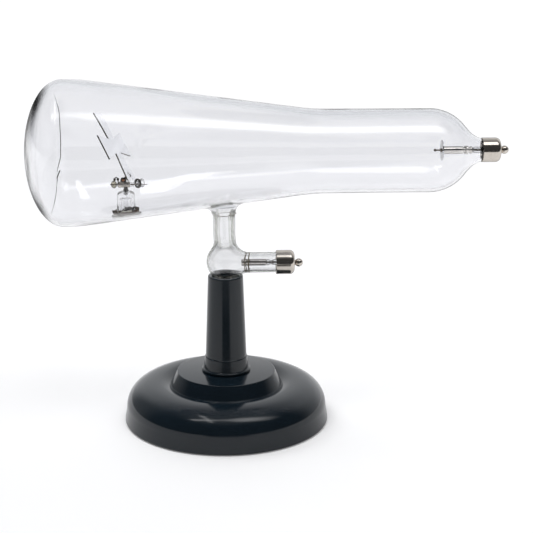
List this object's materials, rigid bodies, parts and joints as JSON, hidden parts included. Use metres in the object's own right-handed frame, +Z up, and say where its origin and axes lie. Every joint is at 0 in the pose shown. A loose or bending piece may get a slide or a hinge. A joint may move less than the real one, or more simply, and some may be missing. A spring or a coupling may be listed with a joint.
{
  "type": "maltese cross tube",
  "caption": "Glass discharge tube with a maltese cross that folds on a hinge inside it, standing by a glass neck, bulb and side arm on a post and a round weighted base.",
  "frame": {"origin": "middle of the foot's underside, on the table", "axes": "+Z up, +X along the tube from the screen end to the cathode cap, the side arm points to +X"},
  "size_m": [0.2976, 0.13, 0.2191],
  "materials": {
    "base_plastic": "satin black slate",
    "post_plastic": "satin black slate, turned",
    "plate_plastic": "matt black",
    "ballast_iron": "as cast",
    "zinc_steel": "zinc plated",
    "foot_rubber": "matt",
    "insert_brass": "turned",
    "cement": "matt plaster",
    "clear_glass": "clear, blown",
    "neck_glass": "clear, worked in the flame",
    "seal_glass": "brownish sealing glass",
    "inner_glass": "clear, worked in the flame",
    "bead_glass": "brown olive bead",
    "nickel": "warm nickel plate",
    "electrode_metal": "satin",
    "cross_sheet": "rolled sheet, satin",
    "lead_wire": "drawn, dull",
    "band_metal": "bronze, darkened",
    "hinge_metal": "browned",
    "pin_copper": "copper"
  },
  "bodies": {
    "tube": {"base_shell": "base_plastic", "ballast": "ballast_iron", "bottom_plate": "plate_plastic", "plate_screw_set": "zinc_steel", "foot_ring": "foot_rubber", "post": "post_plastic", "post_insert": "insert_brass", "post_screw": "zinc_steel", "post_washer": "zinc_steel", "socket_cement": "cement", "envelope": "clear_glass", "neck_glass": "neck_glass", "neck_seal": "seal_glass", "arm_glass": "neck_glass", "arm_seal": "seal_glass", "cathode_cap": "nickel", "cathode_terminal": "nickel", "cathode_cement": "cement", "cathode_sheath": "inner_glass", "cathode_lead": "lead_wire", "cathode_sleeve": "electrode_metal", "cathode_disc": "electrode_metal", "cathode_nose": "lead_wire", "anode_cap": "nickel", "anode_terminal": "nickel", "anode_cement": "cement", "anode_sheath": "inner_glass", "anode_lead": "lead_wire", "anode_bead": "inner_glass", "anode_tube": "electrode_metal", "pillar_pad": "inner_glass", "foot_band": "band_metal", "pillar_glass": "inner_glass", "pillar_core": "inner_glass", "cross_bar": "inner_glass", "end_bead": "bead_glass", "screen_wire": "lead_wire", "wire_hook": "hinge_metal", "end_ring": "hinge_metal", "ring_bead": "inner_glass", "tail_wire": "lead_wire", "hinge_bracket": "hinge_metal", "hinge_pin": "pin_copper"},
    "cross": {"cross_plate": "cross_sheet", "cross_rivet": "lead_wire", "hinge_lug": "hinge_metal"}
  },
  "joints": [
    {"name": "cross_fold", "type": "hinge", "parent": "tube", "child": "cross", "pos_m": [-0.06235, 0, 0.15734], "axis": [0, -1, 0], "range_deg": [-27, 58]}
  ]
}
